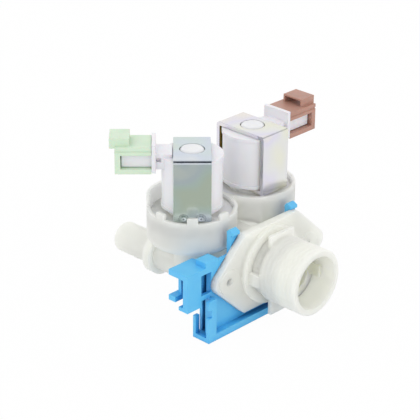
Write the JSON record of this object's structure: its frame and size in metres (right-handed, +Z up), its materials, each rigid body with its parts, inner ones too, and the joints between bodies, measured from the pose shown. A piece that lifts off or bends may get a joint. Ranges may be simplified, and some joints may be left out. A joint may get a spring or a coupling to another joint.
{
  "type": "washing machine water inlet valve",
  "caption": "Double solenoid water inlet valve of a washing machine, with a threaded inlet, two hose outlets, two coils with coding clips and a blue mounting bracket.",
  "frame": {"origin": "centre of the flange's front face on the inlet axis, midway between its two screw holes", "axes": "-Y out of the inlet, +Y out of the two outlets, +Z up along the two coils, +X from the left valve to the right one"},
  "size_m": [0.0898, 0.0876, 0.0737],
  "materials": {
    "nylon_natural": "satin",
    "nylon_blue": "satin",
    "strainer_plastic": "satin",
    "acetal_white": "satin",
    "rubber_black": "matte",
    "nylon_tube": "satin",
    "magnetic_steel": "satin",
    "spring_steel": "satin",
    "zinc_steel": "satin",
    "bobbin_nylon": "matte",
    "enamelled_copper": "satin",
    "coil_polyester": "satin",
    "brass_blades": "satin",
    "clip_green": "satin",
    "clip_brown": "satin"
  },
  "bodies": {
    "valve": {"valve_body": "nylon_natural", "mounting_bracket": "nylon_blue", "inlet_strainer": "strainer_plastic", "flow_regulator_ring": "acetal_white", "flow_regulator_disc": "rubber_black", "left_diaphragm": "rubber_black", "left_guide_tube": "nylon_tube", "left_plunger_spring": "spring_steel", "left_yoke": "zinc_steel", "left_yoke_plate": "zinc_steel", "left_coil_bobbin": "bobbin_nylon", "left_coil_winding": "enamelled_copper", "left_coil_housing": "coil_polyester", "left_terminals": "brass_blades", "left_coding_clip": "clip_green", "right_diaphragm": "rubber_black", "right_guide_tube": "nylon_tube", "right_plunger_spring": "spring_steel", "right_yoke": "zinc_steel", "right_yoke_plate": "zinc_steel", "right_coil_bobbin": "bobbin_nylon", "right_coil_winding": "enamelled_copper", "right_coil_housing": "coil_polyester", "right_terminals": "brass_blades", "right_coding_clip": "clip_brown"},
    "left_plunger_group": {"left_plunger": "magnetic_steel", "left_plunger_seal": "rubber_black"},
    "left_insert_group": {"left_diaphragm_insert": "acetal_white"},
    "right_plunger_group": {"right_plunger": "magnetic_steel", "right_plunger_seal": "rubber_black"},
    "right_insert_group": {"right_diaphragm_insert": "acetal_white"}
  },
  "joints": [
    {"name": "left_plunger_lift", "type": "slide", "parent": "valve", "child": "left_plunger_group", "axis": [0, 0, 1], "range_m": [0, 0.002], "stiffness_N_per_m": 150, "springref_m": -0.004, "deforming": ["left_plunger_spring"]},
    {"name": "left_diaphragm_lift", "type": "slide", "parent": "valve", "child": "left_insert_group", "axis": [0, 0, 1], "range_m": [0, 0.0016], "deforming": ["left_diaphragm"]},
    {"name": "right_plunger_lift", "type": "slide", "parent": "valve", "child": "right_plunger_group", "axis": [0, 0, 1], "range_m": [0, 0.002], "stiffness_N_per_m": 150, "springref_m": -0.004, "deforming": ["right_plunger_spring"]},
    {"name": "right_diaphragm_lift", "type": "slide", "parent": "valve", "child": "right_insert_group", "axis": [0, 0, 1], "range_m": [0, 0.0016], "deforming": ["right_diaphragm"]}
  ],
  "couplings": [
    {"joint": "left_diaphragm_lift", "follows": "left_plunger_lift", "ratio": 0.8},
    {"joint": "right_diaphragm_lift", "follows": "right_plunger_lift", "ratio": 0.8}
  ]
}
